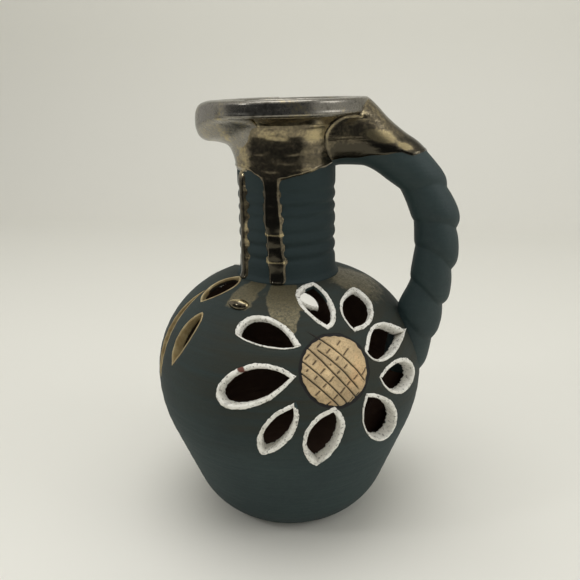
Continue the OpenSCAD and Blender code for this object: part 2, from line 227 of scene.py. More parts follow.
flower = dict(border=1.9, spots=[(-60, 115.9, 0, 1), (122, 122, -22, 0.97)], petals=[
    (0.6, 22.7, 4.9, 59.8, 0.60, 13.0, 0.33, 7.2, 0.5, 1.0, None),
    (16.2, 18.1, 30.5, 44.2, 0.48, 11.4, 0.55, 13.6, 1.0, 0.6, 205),
    (19.7, 6.6, 68.0, 5.0, 0.34, 16.0, 0.33, 10.8, 0.8, 3.0, 220),
    (26.5, -9.0, 64.1, -19.2, 0.51, 9.2, 0.52, 10.3, 0.6, 0.0, 200),
    (16.8, -15.2, 37.5, -50.7, 0.62, 11.4, 0.50, 11.8, 0.6, 0.0, 200),
    (-2.7, -18.5, -10.9, -56.0, 0.38, 8.8, 0.47, 13.0, 0.9, 0.5, None),
    (-22.7, -14.0, -41.1, -46.5, 0.48, 7.4, 0.58, 9.0, 1.2, 0.4, None),
    (-21.1, -0.9, -66.7, -15.0, 0.66, 8.9, 0.45, 12.2, 0.9, 0.0, None),
    (-15.6, 14.8, -50.4, 19.8, 0.48, 3.6, 0.48, 15.0, 0.9, 0.0, 278)],
    # freehand: two petals of the back flower are shorter
    back={2: (32.0, 6.0, 66.0, 4.3, 0.45, 11.0, 0.45, 7.6, 0.8, 1.6, None),
          4: (16.8, -15.2, 30.0, -36.5, 0.55, 9.0, 0.50, 9.0, 0.6, 0.0, None)})
leaves = dict(border=0.8, back={}, spots=[(188, 115.9, 0, 1)], petals=[
    (29.5, 30.0, 14.0, 59.5, 0.55, 7.6, 0.42, 9.4, 0.8, 1.2, None),
    (49.0, -9.5, 41.0, 26.0, 0.55, 5.0, 0.48, 8.2, 1.2, 0.3, None),
    (31.5, -24.0, 17.5, 37.0, 0.45, 4.0, 0.28, 5.6, 1.0, 1.0, None)])
edge = dict(swell=1.2, points=90, loop=110, point=0.12, thinned=0.72, thinReach=48)


# leaf outline: half width w (t/p)^(pk) ((1-t)/(1-p))^((1-p)k) on both sides of a straight middle line,
# drawn to a point at either end by a root of 1 - exp(-t/point); all of it drawn in by a border
def leafOutline(row, border=0):
    leftAt, leftWide, rightAt, rightWide, tipSharp, endSharp = row[4:10]
    tip, end = np.array(row[:2]), np.array(row[2:4])
    t = (1 - np.cos(np.linspace(0, math.pi, edge["points"]))) / 2
    way = (end - tip) / np.hypot(*(end - tip))
    tip = tip + border * (1 + tipSharp / 2) * way
    end = end - border * (1 + endSharp / 2) * way
    ahead, left = end - tip, np.array([-way[1], way[0]])
    first = 1 - np.exp(-t / edge["point"])
    last = 1 - np.exp((t - 1) / (edge["point"] * max(1, endSharp)))
    k = edge["swell"]
    sides = []
    for p, w, sign in ((rightAt, rightWide, -1), (leftAt, leftWide, 1)):
        half = (w - border) * (t / p) ** (p * k) * ((1 - t) / (1 - p)) ** ((1 - p) * k)
        half = half * first ** (tipSharp / 2) * last ** (endSharp / 2)
        sides.append(tip + t[:, None] * ahead + sign * half[:, None] * left)
    return np.vstack([sides[0], sides[1][-2:0:-1]])


# outward direction along a closed line run anticlockwise, smoothed round its tips
def outward(line, reach=4):
    step = np.roll(line, -1, 0) - np.roll(line, 1, 0)
    side = np.column_stack([step[:, 1], -step[:, 0]])
    side = sum(np.roll(side, k, 0) for k in range(-reach, reach + 1))
    return side / np.linalg.norm(side, axis=1)[:, None]


# motif millimetres, turned and sized, to angle and distance up the outline
def onMotif(spot, uv):
    angle, height, turn, share = spot
    c, s = share * math.cos(turn * rad), share * math.sin(turn * rad)
    up = upTo(height) + uv[..., 0] * s + uv[..., 1] * c
    return angle * rad + (uv[..., 0] * c - uv[..., 1] * s) / bodyRadius(up), up


# share of the full border on each side of an opening: a bell of the angle from its thin side taken off
def borderShare(row, side):
    thinSide = row[10]
    if thinSide is None:
        return np.ones((len(side), 1))
    turn = np.arctan2(side[:, 1:], side[:, :1]) / rad - thinSide
    return 1 - edge["thinned"] * np.exp(-(((turn + 180) % 360 - 180) / edge["thinReach"]) ** 2)


# cut edge and border outline of the openings of each spot; the cut comes out to the border on its thin side
def motifHoles(motif):
    sets = []
    for which in range(len(motif["spots"])):
        openings = []
        for k, row in enumerate(motif["petals"]):
            row = motif["back"].get(k, row) if which else row
            line, full = leafOutline(row, motif["border"]), leafOutline(row)
            openings.append((line + (1 - borderShare(row, outward(line))) * (full - line), full))
        sets.append(openings)
    return sets


flowerHoles, leafHoles = motifHoles(flower), motifHoles(leaves)


# crossing test of many points against one closed line
def inside(points, line):
    x, y = points[:, :1], points[:, 1:]
    a, b = line, np.roll(line, -1, 0)
    across = (a[:, 1] > y) != (b[:, 1] > y)
    rise = np.where(b[:, 1] == a[:, 1], 1, b[:, 1] - a[:, 1])
    hit = x < (b[:, 0] - a[:, 0]) * (y - a[:, 1]) / rise + a[:, 0]
    return (across & hit).sum(1) % 2 == 1


# Materials: helpers that take sockets or plain values add a node and return the socket of its result

# material with its node tree and its shader
def newMaterial(name):
    material = bpy.data.materials.new(name)
    material.use_nodes = True
    return material, material.node_tree, material.node_tree.nodes["Principled BSDF"]


# each input of a node linked to a socket or set to a plain value
def plug(node, inputs):
    for key, value in inputs.items():
        if isinstance(value, bpy.types.NodeSocket):
            node.id_data.links.new(value, node.inputs[key])
        else:
            node.inputs[key].default_value = value


# node tree that the given sockets belong to; plain numbers and colours are passed over
def treeOf(*values):
    return next(value.id_data for value in values if isinstance(value, bpy.types.NodeSocket))


def put(tree, kind, inputs=None, **props):
    node = tree.nodes.new(kind)
    for key, value in props.items():
        setattr(node, key, value)
    plug(node, inputs or {})
    return node


def place(tree, stretch=(1, 1, 1)):
    where = put(tree, "ShaderNodeTexCoord").outputs["Object"]
    if stretch == (1, 1, 1):
        return where
    return put(tree, "ShaderNodeMapping", {"Vector": where, "Scale": stretch}).outputs[0]


def noise(where, scale, detail=4, rough=0.55, twist=0):
    inputs = {"Vector": where, "Scale": scale, "Detail": detail, "Roughness": rough, "Distortion": twist}
    return put(treeOf(where), "ShaderNodeTexNoise", inputs).outputs["Fac"]


def sums(how, a, b=0.0):
    return put(treeOf(a, b), "ShaderNodeMath", {0: a, 1: b}, operation=how).outputs[0]


def times(a, b):
    return sums("MULTIPLY", a, b)


def plus(a, b):
    return sums("ADD", a, b)


def span(value, low, high, first=0.0, last=1.0):
    inputs = {"Value": value, "From Min": low, "From Max": high, "To Min": first, "To Max": last}
    return put(treeOf(value), "ShaderNodeMapRange", inputs).outputs[0]


def tint(share, first, second):
    tree = treeOf(share, first, second)
    first, second = ((*c, 1) if isinstance(c, tuple) else c for c in (first, second))
    return put(tree, "ShaderNodeMix", {0: share, 6: first, 7: second}, data_type="RGBA").outputs[2]


def relief(height, strength, depth):
    inputs = {"Height": height, "Strength": strength, "Distance": depth}
    return put(treeOf(height), "ShaderNodeBump", inputs).outputs[0]


def mark(tree, name):
    return put(tree, "ShaderNodeAttribute", attribute_name=name).outputs["Fac"]


slipTones = dict(
    deep=(0.0075, 0.021, 0.023), pale=(0.021, 0.041, 0.040), dust=(0.070, 0.074, 0.066),
    umber=(0.0195, 0.0210, 0.0115), khaki=(0.15, 0.128, 0.072), score=(0.006, 0.005, 0.005), rough=0.78,
    sheen=0.62)
bronzeTones = dict(dark=(0.065, 0.058, 0.043), gold=(0.46, 0.38, 0.215))
# rim and spout are mostly grey bronze, the thick glaze on neck, runs and handle is mostly dark
satin = dict(low=0.36, high=0.54, giltAndHighlight=0.72, rough=0.20, bronze=(0.245, 0.230, 0.200))
pool = dict(low=0.46, high=0.70, giltAndHighlight=0.74, rough=0.13, bronze=(0.240, 0.200, 0.132))


# matte slip: two teal greys mottled at three sizes, brush streaks round the axis and pale dust
def slipColour(tree):
    where = place(tree)
    broad = noise(where, 28, 3, 0.5)
    fine = noise(where, 420, 5, 0.7)
    streak = noise(place(tree, (30, 30, 520)), 1, 3, 0.6)
    share = plus(times(broad, 0.6), times(fine, 0.4))
    share = plus(share, times(streak, 0.25))
    colour = tint(span(share, 0.4, 0.85), slipTones["deep"], slipTones["pale"])
    speck = span(noise(where, 900, 2, 0.5), 0.68, 0.78)
    colour = tint(times(speck, 0.35), colour, slipTones["dust"])
    grain = plus(fine, times(streak, 1.3))
    return colour, grain


# bronze glaze: dark umber, grey bronze and gold in clouds and small crystals, more golden where the glaze is
# marked thin and where a highlight is painted
def bronzeColour(tree, kind):
    where = place(tree)
    cloud = noise(where, 42, 4, 0.6, 0.6)
    crystal = noise(where, 600, 4, 0.65)
    share = plus(times(cloud, 0.7), times(crystal, 0.45))
    share = plus(share, times(mark(tree, "thinAndHighlight"), 0.34))
    colour = tint(span(share, kind["low"], kind["high"]), bronzeTones["dark"], kind["bronze"])
    golden = span(share, kind["giltAndHighlight"] - 0.10, kind["giltAndHighlight"] + 0.06)
    colour = tint(golden, colour, bronzeTones["gold"])
    gloss = span(share, 0.35, 0.8, kind["rough"], kind["rough"] + 0.14)
    return colour, gloss, crystal


# slip of the neck, mostly the deep tone, which paints shade on the neck
def makeSlip(name):
    material, tree, shader = newMaterial(name)
    colour, grain = slipColour(tree)
    colour = tint(0.7, colour, slipTones["deep"])
    plug(shader, {
        "Base Color": colour, "Roughness": slipTones["rough"], "Normal": relief(grain, 0.5, 0.0004)})
    return material


# slip below the dip line and glaze above it, by the attribute that holds the distance above that line
def makeDipped():
    material, tree, shader = newMaterial("dippedSlip")
    colour, grain = slipColour(tree)
    metal, gloss, _ = bronzeColour(tree, pool)
    share = span(mark(tree, "glaze"), -0.12, 0.12)
    plug(shader, {
        "Base Color": tint(share, colour, metal),
        "Metallic": share,
        "Roughness": tint(share, (slipTones["sheen"],) * 3, gloss),
        "Normal": relief(grain, 0.4, 0.0003)})
    return material


# body slip: brown brushed streaks that also paint shade toward the front, khaki stains and a painted sheen
# beside the handle by an attribute, a scored ring round each flower centre
def makeBodySlip(rings):
    material, tree, shader = newMaterial("slateSlip")
    colour, grain = slipColour(tree)
    where = place(tree)
    brush = span(noise(place(tree, (14, 14, 150)), 1, 4, 0.6, 0.5), 0.36, 0.62, 0.4, 0.95)
    # brown streaks where the attribute is high, also painted shade toward the front
    colour = tint(times(brush, mark(tree, "brownAndShade")), colour, slipTones["umber"])
    speckle = noise(where, 800, 4, 0.75)
    # khaki stains, with a painted sheen beside the handle, from an attribute and fine noise
    patch = plus(mark(tree, "stainAndSheen"), times(noise(where, 240, 4, 0.7), 0.6))
    stainAndSheen = times(span(patch, 0.62, 0.86), span(speckle, 0.32, 0.58, 0.35, 1.0))
    colour = tint(stainAndSheen, colour, slipTones["khaki"])
    near = None
    for middle, radius in rings:
        far = put(tree, "ShaderNodeVectorMath", {0: where, 1: middle}, operation="DISTANCE").outputs["Value"]
        off = sums("ABSOLUTE", sums("SUBTRACT", far, radius))
        near = off if near is None else sums("MINIMUM", near, off)
    shake = times(noise(where, 110, 3, 0.6), 0.0022)
    score = span(plus(near, shake), 0.0017, 0.0023, 1, 0)
    colour = tint(score, colour, slipTones["score"])
    height = sums("SUBTRACT", grain, times(score, 2.0))
    plug(shader, {
        "Base Color": colour,
        "Metallic": times(stainAndSheen, 0.6),
        "Roughness": span(stainAndSheen, 0, 1, slipTones["rough"], 0.40),
        "Normal": relief(height, 0.5, 0.0004)})
    return material


# glaze all over, with low swells and fine crystals
def makeBronze(name, kind):
    material, tree, shader = newMaterial(name)
    colour, gloss, crystal = bronzeColour(tree, kind)
    swell = plus(noise(place(tree), 90, 2, 0.5), times(crystal, 0.08))
    plug(shader, {
        "Base Color": colour, "Metallic": 1.0, "Roughness": gloss, "Normal": relief(swell, 0.25, 0.0010)})
    return material


# white slip: brushed, pitted with dark specks, a red-brown chip and bare places by attributes
def makeWhite():
    material, tree, shader = newMaterial("whiteSlip")
    where = place(tree)
    pits = span(noise(where, 700, 3, 0.6), 0.34, 0.42)
    smudge = span(noise(where, 260, 4, 0.65), 0.40, 0.30, 0, 0.6)
    brush = noise(where, 220, 4, 0.6)
    colour = tint(span(brush, 0.3, 0.6), (0.68, 0.66, 0.585), (0.87, 0.855, 0.785))
    colour = tint(smudge, colour, (0.30, 0.29, 0.26))
    colour = tint(times(sums("SUBTRACT", 1.0, pits), 0.7), colour, (0.10, 0.09, 0.08))
    colour = tint(span(mark(tree, "chip"), 0.35, 0.6), colour, (0.15, 0.05, 0.035))
    ragged = plus(mark(tree, "bare"), times(brush, 0.5))
    colour = tint(span(ragged, 0.62, 0.72), colour, slipTones["pale"])
    height = plus(pits, times(brush, 1.2))
    plug(shader, {"Base Color": colour, "Roughness": 0.85, "Normal": relief(height, 0.7, 0.0004)})
    return material


# tan slip: sandy, clouded, warm in places, dark where it is cut
def makeTan():
    material, tree, shader = newMaterial("tanSlip")
    where = place(tree)
    sand = noise(where, 900, 4, 0.7)
    cloud = noise(where, 95, 3, 0.5)
    colour = tint(span(cloud, 0.3, 0.7), (0.44, 0.33, 0.19), (0.80, 0.60, 0.34))
    warm = span(noise(where, 60, 2, 0.5), 0.56, 0.7, 0, 0.5)
    colour = tint(warm, colour, (0.74, 0.44, 0.21))
    colour = tint(span(sand, 0.50, 0.70, 0, 0.7), colour, (0.26, 0.18, 0.10))
    colour = tint(mark(tree, "carve"), colour, (0.020, 0.014, 0.010))
    plug(shader, {"Base Color": colour, "Roughness": 0.88, "Normal": relief(sand, 0.9, 0.0011)})
    return material


# gold lustre: dull and clouded, worn to dark clay in bare places
def makeGold():
    material, tree, shader = newMaterial("goldLustre")
    where = place(tree)
    cloud = noise(where, 150, 4, 0.6)
    colour = tint(span(cloud, 0.3, 0.7), (0.27, 0.18, 0.07), (0.56, 0.465, 0.26))
    ragged = plus(mark(tree, "bare"), times(cloud, 0.5))
    colour = tint(span(ragged, 0.55, 0.80), colour, (0.030, 0.022, 0.014))
    grain = noise(where, 500, 3, 0.6)
    plug(shader, {
        "Base Color": colour, "Metallic": 0.45, "Roughness": 0.38, "Normal": relief(grain, 0.4, 0.0004)})
    return material


# bare clay: brown clouds and throwing rings
def makeClay():
    material, tree, shader = newMaterial("darkClay")
    where = place(tree)
    cloud = noise(where, 60, 4, 0.6)
    rings = noise(place(tree, (20, 20, 380)), 1, 2, 0.5)
    colour = tint(cloud, (0.040, 0.022, 0.014), (0.100, 0.055, 0.033))
    plug(shader, {"Base Color": colour, "Roughness": 0.9, "Normal": relief(rings, 0.6, 0.001)})
    return material


# Flower centres: each line is q = a + b p + c p p along the hatching, from one p to another, and each dash
# stands across it at (p, q) with a length
centre = dict(
    middle=(0.3, 0.0), radius=18.4, score=19.0, height=1.5, net=150, slant=-41, cut=0.9, cutWidth=0.42,
    puff=0.42, uneven=0.045, sunk=0.25, strip=24, stripHalf=0.3, stripHigh=0.07,
    lines=[
        (8.0, -0.17, -0.004, -24, 18), (2.2, -0.155, -0.0045, -15, 16.5), (-2.1, -0.2, 0, -21, 21),
        (-7.95, -0.15, -0.003, -18.5, 16), (-12.85, -0.1, -0.002, -16, 12.5)],
    dashes=[
        (-6, 13.1, 3), (-0.3, 11.1, 4.5), (14, 7.8, 4.5), (-14.4, 6.3, 3.4), (-8.8, 6.2, 3),
        (-3, 5.4, 2.6), (3.1, 4.4, 2.6), (10.8, 2.7, 3), (-4.4, 0.7, 1), (1.2, -0.3, 2), (9.2, -2, 2.6),
        (17.2, -4, 3), (-16.3, -2.8, 3.6), (-11.8, -3.2, 3), (-6, -4.4, 3.4), (0, -5.2, 3.4),
        (8.1, -6.8, 3.6), (15.3, -8.9, 4.5), (-12.7, -8.9, 1.6), (-7.3, -9.3, 2.4), (-1.3, -10, 2.6),
        (6.9, -11.4, 3), (-2.1, -15.2, 3.2), (6, -16.4, 3)])
discRings = []
for spot in flower["spots"]:
    discMiddle = bodyPoint(*onMotif(spot, np.array(centre["middle"])), 0)
    discRings.append((tuple(discMiddle * mm), centre["score"] * spot[3] * mm))

slip = makeBodySlip(discRings)
neckSlip = makeSlip("neckSlip")
dippedSlip = makeDipped()
bronze = makeBronze("bronzeGlaze", satin)
darkBronze = makeBronze("darkBronze", pool)
white = makeWhite()
tan = makeTan()
gold = makeGold()
clay = makeClay()
print("materials made")


# stains of bronze on the slip, each a soft patch over angle and height: below the front run, round the bead,
# and a faint mist on the shoulder; a painted sheen beside the handle is a patch of the same kind
stainsAndSheen = dict(
    frontAngle=-82, frontLow=132.5, frontTop=145, frontLean=0.3,
    frontHalf=[(133, 1.5), (137, 4), (143, 9), (150, 11)], smearAngle=-112.5, smearLow=141, smearHalf=7,
    sheenAngle=-4, sheenLow=126, sheenHalf=16, mistLow=135, outside=20)


def bodyStainAndSheen(points, p):
    angle = np.arctan2(points[:, 1], points[:, 0]) / rad
    z = points[:, 2]
    half = np.interp(z, *np.transpose(p["frontHalf"]))
    side = angle - p["frontAngle"] - (p["frontTop"] - z) * p["frontLean"]
    front = 0.95 * ease(z, p["frontLow"], p["frontLow"] + 2) * within(side, half, 2)
    side = angle - p["smearAngle"]
    smear = 0.9 * ease(z, p["smearLow"], p["smearLow"] + 2) * within(side, p["smearHalf"], 3)
    # painted sheen on the shoulder beside the handle, where it catches the light
    side = angle - p["sheenAngle"]
    sheenBesideHandle = 0.32 * ease(z, p["sheenLow"], p["sheenLow"] + 14) * within(side, p["sheenHalf"], 18)
    mist = 0.26 * ease(z, p["mistLow"], p["mistLow"] + 11)
    outside = np.hypot(points[:, 0], points[:, 1]) > p["outside"]
    return np.clip(front + smear + sheenBesideHandle + mist, 0, 1) * outside


# cut edges of all openings on the flat net, whose first number is the angle times the radius of the belly
def openingLoops(b):
    loops = []
    for motif, sets in ((flower, flowerHoles), (leaves, leafHoles)):
        for spot, openings in zip(motif["spots"], sets):
            for hole, _ in openings:
                angle, s = onMotif(spot, evenSteps(hole, edge["loop"], closed=True))
                loops.append(np.column_stack([(angle % tau) * b["belly"], s]))
    return loops


# flat net of triangles over angle and outline, evenly spaced, with the openings left out and the seam closed
def bodyNet(b):
    width = tau * b["belly"]
    rows = []
    for s in np.linspace(0, bodyLength, int(bodyLength / b["step"])):
        n = int(round(tau * bodyRadius(s) / b["step"]))
        rows.append(np.column_stack([np.linspace(0, width, n + 1), np.full(n + 1, s)]))
    net, loops = np.vstack(rows), openingLoops(b)
    for loop in loops:
        near = np.flatnonzero(np.all((net > loop.min(0) - 3) & (net < loop.max(0) + 3), axis=1))
        gap = np.linalg.norm(net[near, None] - loop[None], axis=2).min(1)
        net = np.delete(net, near[inside(net[near], loop) | (gap < b["edgeGap"])], axis=0)
    ring = np.arange(edge["loop"])
    ring = np.column_stack([ring, np.roll(ring, -1)])
    links = np.vstack([len(net) + k * edge["loop"] + ring for k in range(len(loops))])
    made = delaunay_2d_cdt(np.vstack([net] + loops).tolist(), links.tolist(), [], 0, 1e-6, False)
    flat, faces = np.array(made[0]), np.array(made[2])
    middle = flat[faces].mean(1)
    for loop in loops:
        near = np.flatnonzero(np.all((middle > loop.min(0)) & (middle < loop.max(0)), axis=1))
        out = near[inside(middle[near], loop)]
        faces, middle = np.delete(faces, out, axis=0), np.delete(middle, out, axis=0)
    # the seam under the handle tail: points of the right edge become those of the left edge
    left, right = np.flatnonzero(flat[:, 0] < 1e-4), np.flatnonzero(flat[:, 0] > width - 1e-3)
    same = np.arange(len(flat))
    same[right[np.argsort(flat[right, 1])]] = left[np.argsort(flat[left, 1])]
    used, faces = np.unique(same[faces], return_inverse=True)
    return flat[used], faces.reshape(-1, 3)


# faint throwing ridges left of the front flower: a wave over height, bent with the angle, in a soft patch
def throwingRidges(turn, z, depth):
    patch = ease(turn / rad, 233, 245) * (1 - ease(turn / rad, 266, 282))
    patch = patch * ease(z, 80, 92) * (1 - ease(z, 116, 126))
    return depth * patch * np.sin(1.22 * z + 2.5 * np.sin(1.4 * turn))


# wall of the body: the net laid on the outer face and on the inner face, with walls between the two along
# every open edge, and the foot closed below and above the floor
def buildBody(b):
    flat, faces = bodyNet(b)
    n = len(flat)
    turn, s = flat[:, 0] / b["belly"], flat[:, 1]
    outer = bodyPoint(turn, s, throwingRidges(turn, bodyPoint(turn, s, 0)[:, 2], b["ridges"]))
    inner = bodyPoint(turn, s, -wallAt(s))
    inner[:, 2] = np.maximum(inner[:, 2], b["floor"])
    ways = openEdges(faces, n)
    foot = np.all(s[ways] < 1e-4, axis=1)
    i, j = ways[foot].T
    under = np.column_stack([j, i, np.full(len(i), 2 * n)])
    floor = np.column_stack([i + n, j + n, np.full(len(i), 2 * n + 1)])
    points = np.vstack([outer, inner, [[0, 0, b["underside"]], [0, 0, b["floor"]]]])
    faceSets = [faces, faces[:, ::-1] + n, under, floor, shellWalls(ways[~foot], n)]
    finish = np.concatenate([np.full(len(f), k) for f, k in zip(faceSets, (0, 1, 1, 1, 0))])
    # brown on the upper body, more toward the front, where it also paints shade
    off = np.abs(np.arctan2(points[:, 1], points[:, 0]) / rad - b["brownAndShadeAngle"])
    brownAndShade = ease(points[:, 2], b["brownAndShadeFrom"], b["brownAndShadeTo"]) * (1 - 0.5 * ease(off, 40, 80))
    makePiece("jugBody", points, faceSets, [slip, clay], ["body"], finish,
              {"stainAndSheen": bodyStainAndSheen(points, stainsAndSheen), "brownAndShade": brownAndShade})


buildBody(jugBody)


# Slip linings: a closed section carried round each opening, in distance out from the cut and height above
# the body. bare rows: petal, place east and up, reach, and the greatest height that is bare

whiteLining = dict(
    section=[
        (1.9, -0.3), (1.92, 0.12), (1.6, 0.36), (0.8, 0.45), (0.1, 0.38), (-0.25, 0.1), (-0.4, -0.8),
        (-0.42, -2.0), (-0.42, -4.6), (-0.25, -5.8), (0.1, -6.2), (0.4, -6.0), (0.4, -4.6), (0.4, -1.0),
        (0.6, -0.4)],
    rough=0.30, inner=0.14, lumps=0.16, ragged=0.8, seed=10, chip=(-50.0, 1.4),
    bare=[(0, 8.0, 51.0, 12.0, -0.4), (6, -21.5, -15.5, 3.0, 2.0)])
goldLining = dict(
    section=[
        (0.8, -0.25), (0.8, 0.06), (0.5, 0.18), (0.1, 0.16), (-0.15, -0.1), (-0.28, -0.8), (-0.28, -4.8),
        (-0.1, -5.8), (0.3, -6.0), (0.3, -5.0), (0.3, -0.8)],
    rough=0.12, inner=0.05, lumps=0.05, ragged=0.2, seed=40, chip=None, bare=[(0, 14.0, 46.0, 12.5, -0.5)])


# chip and bare places on one lining of the front motif: soft spots round places east and up
def liningMarks(lining, petal, uv, h):
    chip, bare = np.zeros(h.shape), np.zeros(h.shape)
    if lining["chip"]:
        chip = np.exp(-((uv - np.array(lining["chip"])) ** 2).sum(-1) / 5.5)
    for where, u, v, reach, ceiling in lining["bare"]:
        if where == petal:
            gap = np.hypot(uv[..., 0] - u, uv[..., 1] - v)
            bare = np.maximum(bare, (1 - ease(gap, 0.6 * reach, reach)) * (h < ceiling))
    return chip.ravel(), bare.ravel()


# section times hand wobble round each opening: its outer edge reaches to the border, its inner part follows
# the cut and goes as deep as the wall
def buildLinings(name, motif, sets, lining, material, nodes):
    section = np.array(lining["section"])
    m, border = len(section), motif["border"]
    outer, inner = section[:, 0] > border / 2, section[:, 0] < 0
    top, deep = section[:, 1] > 0.1, section[:, 1] < -5.4
    points, quads, marks = [], [], []
    for which, (spot, openings) in enumerate(zip(motif["spots"], sets)):
        for k, (hole, full) in enumerate(openings):
            n, side = len(hole), outward(hole)
            steps = np.linalg.norm(np.roll(hole, -1, 0) - hole, axis=1)
            turn = tau * np.cumsum(steps) / steps.sum()
            draw = lining["seed"] + 200 * which + k
            rough = wobble(turn, (3, 5, 8, 13), draw) + 0.6 * wobble(turn, (19, 29, 37), draw + 50)
            lumps = wobble(turn, (4, 9, 15, 23), draw + 100)
            tears = wobble(turn, (11, 17, 26, 35), draw + 150)
            o = section[:, 0] + (lining["rough"] * outer + lining["inner"] * inner) * rough[:, None]
            h = section[:, 1] + lining["lumps"] * top * lumps[:, None]
            h = h + lining["ragged"] * deep * tears[:, None]
            reach = np.where(o > 0, o / border, 0)[..., None] * (full - hole)[:, None]
            uv = hole[:, None] + reach + np.minimum(o, 0)[..., None] * side[:, None]
            angle, s = onMotif(spot, uv)
            h = np.where(h < 0, h * wallAt(s) / jugBody["wall"], h)
            quads.append(gridQuads(n, m, True, True) + sum(map(len, points)))
            points.append(bodyPoint(angle, s, h).reshape(-1, 3))
            marks.append(np.zeros((2, n * m)) if which else liningMarks(lining, k, uv, h))
    chips, bares = np.hstack(marks)
    makePiece(name, np.vstack(points), [np.vstack(quads)], [material], nodes, None,
              {"chip": chips, "bare": bares})


buildLinings("whiteLinings", flower, flowerHoles, whiteLining, white, ["white_linings"])
buildLinings("goldLinings", leaves, leafHoles, goldLining, gold, ["gold_linings"])


# depth of the hatching at places along and across it: a bell of the distance from each line and dash
def hatching(c, p, q):
    cut = np.zeros_like(p)
    for a, b, k, first, last in c["lines"]:
        off = q - a - b * p - k * p * p
        reach = ease(p, first, first + 2) * (1 - ease(p, last - 2, last))
        cut = np.maximum(cut, np.exp(-(off / c["cutWidth"]) ** 2) * reach)
    for dashP, dashQ, length in c["dashes"]:
        off = p - dashP - 0.15 * (q - dashQ)
        reach = within(q - dashQ, 0.6 * length - 0.7, 1.0)
        cut = np.maximum(cut, 0.85 * np.exp(-(off / c["cutWidth"]) ** 2) * reach)
    return cut


# the first line begins outside the disc: a thin dark strip there, four points round it at each step
def hatchStrip(c, slant):
    a, b, k, first, _ = c["lines"][0]
    p = np.linspace(first, 2.5 - c["radius"], c["strip"])[:, None]
    q = a + b * p + k * p * p + c["stripHalf"] * np.array([-1, 1, 1, -1]) * ease(p, first - 0.5, first + 4)
    uv = [p * math.cos(slant) - q * math.sin(slant), p * math.sin(slant) + q * math.cos(slant)]
    end = 4 * c["strip"]
    faces = np.vstack([gridQuads(c["strip"], 4), [[0, 1, 2, 3], [end - 1, end - 2, end - 3, end - 4]]])
    return np.stack(uv, -1).reshape(-1, 2), faces


# discs: a square net drawn round, raised with a soft edge, puffed in lumps and cut by the hatching
def buildCentres(c):
    n = c["net"]
    x, y = np.meshgrid(np.linspace(-1, 1, n), np.linspace(-1, 1, n), indexing="ij")
    u, v = x * np.sqrt(1 - y * y / 2), y * np.sqrt(1 - x * x / 2)
    turn, far = np.arctan2(v, u), np.hypot(u, v)
    grow = c["radius"] * (1 + c["uneven"] * wobble(turn, (2, 3, 5, 8, 13, 19, 26), 21) * far)
    u, v = u * grow, v * grow
    slant = c["slant"] * rad
    p, q = u * math.cos(slant) + v * math.sin(slant), v * math.cos(slant) - u * math.sin(slant)
    cut = hatching(c, p, q)
    lumps = np.sin(p / 1.85 + 0.6 * np.sin(q / 2)) * np.cos(q / 1.7 + 0.5 * np.sin(p / 3))
    lumps = (lumps + 0.6 * np.sin(u / 3.7 + v / 2.9)) * (1 - far ** 6)
    h = c["height"] * np.sqrt(np.clip(1 - far ** 12, 0, 1)) + c["puff"] * lumps - c["cut"] * cut - c["sunk"]
    side = np.arange(n - 1)
    brink = np.concatenate([side * n, (n - 1) * n + side, n * n - 1 - side * n, n - 1 - side])
    uv = np.stack([u, v], -1).reshape(-1, 2)
    ring = n * n + np.arange(len(brink))
    skirt = np.column_stack([brink, ring, np.roll(ring, -1), np.roll(brink, -1)])
    strip, stripFaces = hatchStrip(c, slant)
    uv = np.vstack([uv, uv[brink], [[0, 0]], strip])
    tip = ring[-1] + 1
    faceSets = [gridQuads(n, n, False, False), skirt, fan(ring, tip), stripFaces + tip + 1]
    under = np.full(len(brink) + 1, -1.0)
    h = np.concatenate([h.ravel(), under, np.tile([c["stripHigh"], c["stripHigh"], -0.5, -0.5], c["strip"])])
    carve = np.concatenate([cut.ravel(), 0 * under, np.ones(len(strip))])
    points = [bodyPoint(*onMotif(spot, uv + c["middle"]), h) for spot in flower["spots"]]
    both = [np.vstack([f, f + len(uv)]) for f in faceSets]
    makePiece("flowerCentres", np.vstack(points), both, [tan], ["flower_centres"], None,
              {"carve": np.concatenate([carve, carve])})


buildCentres(centre)


# Neck: a tube with soft throwing ribs, a fillet on the shoulder and a hollow curve out to the rim, glazed in
# the mouth; rim and upper neck lean up a little toward the handle and the front

jugNeck = dict(
    radius=28.4, bore=22.4, foot=149.4, top=241.0, root=2.0, rootReach=1.8, ribDepth=1.25, ribWidth=1.9,
    ribs=(163.4, 171.0, 178.5, 186.9, 193.3, 200.6), flareStart=228.5, flare=13.0, mouth=33.0,
    mouthFrom=229, mouthTo=242, dip=216, rows=210, inside=60, cols=256, leanX=0.016, leanY=-0.014,
    leanFrom=205, leanTo=245)


# radius at a height; the ribs take a share of their full depth
def neckRadius(z, share=1):
    n = jugNeck
    r = n["radius"] + n["root"] * np.exp(-np.clip(z - n["foot"] - 1.4, 0, 99) / n["rootReach"])
    for k, rib in enumerate(n["ribs"]):
        depth = share * n["ribDepth"] * (0.8 + 0.3 * math.sin(2 * k))
        r = r - depth * np.exp(-((z - rib) / n["ribWidth"]) ** 2)
    up = np.clip(z - n["flareStart"], 0, 0.985 * n["flare"])
    return r + n["flare"] - np.sqrt(n["flare"] ** 2 - up ** 2)


# radius inside the neck, opening into the mouth
def neckBore(z):
    n = jugNeck
    return n["bore"] + (n["mouth"] - n["bore"]) * ease(z, n["mouthFrom"], n["mouthTo"])


# height raised by a slope across the axis, more toward the top
def lean(points):
    n = jugNeck
    share = ease(points[:, 2], n["leanFrom"], n["leanTo"])
    points[:, 2] += (n["leanX"] * points[:, 0] + n["leanY"] * points[:, 1]) * share
    return points


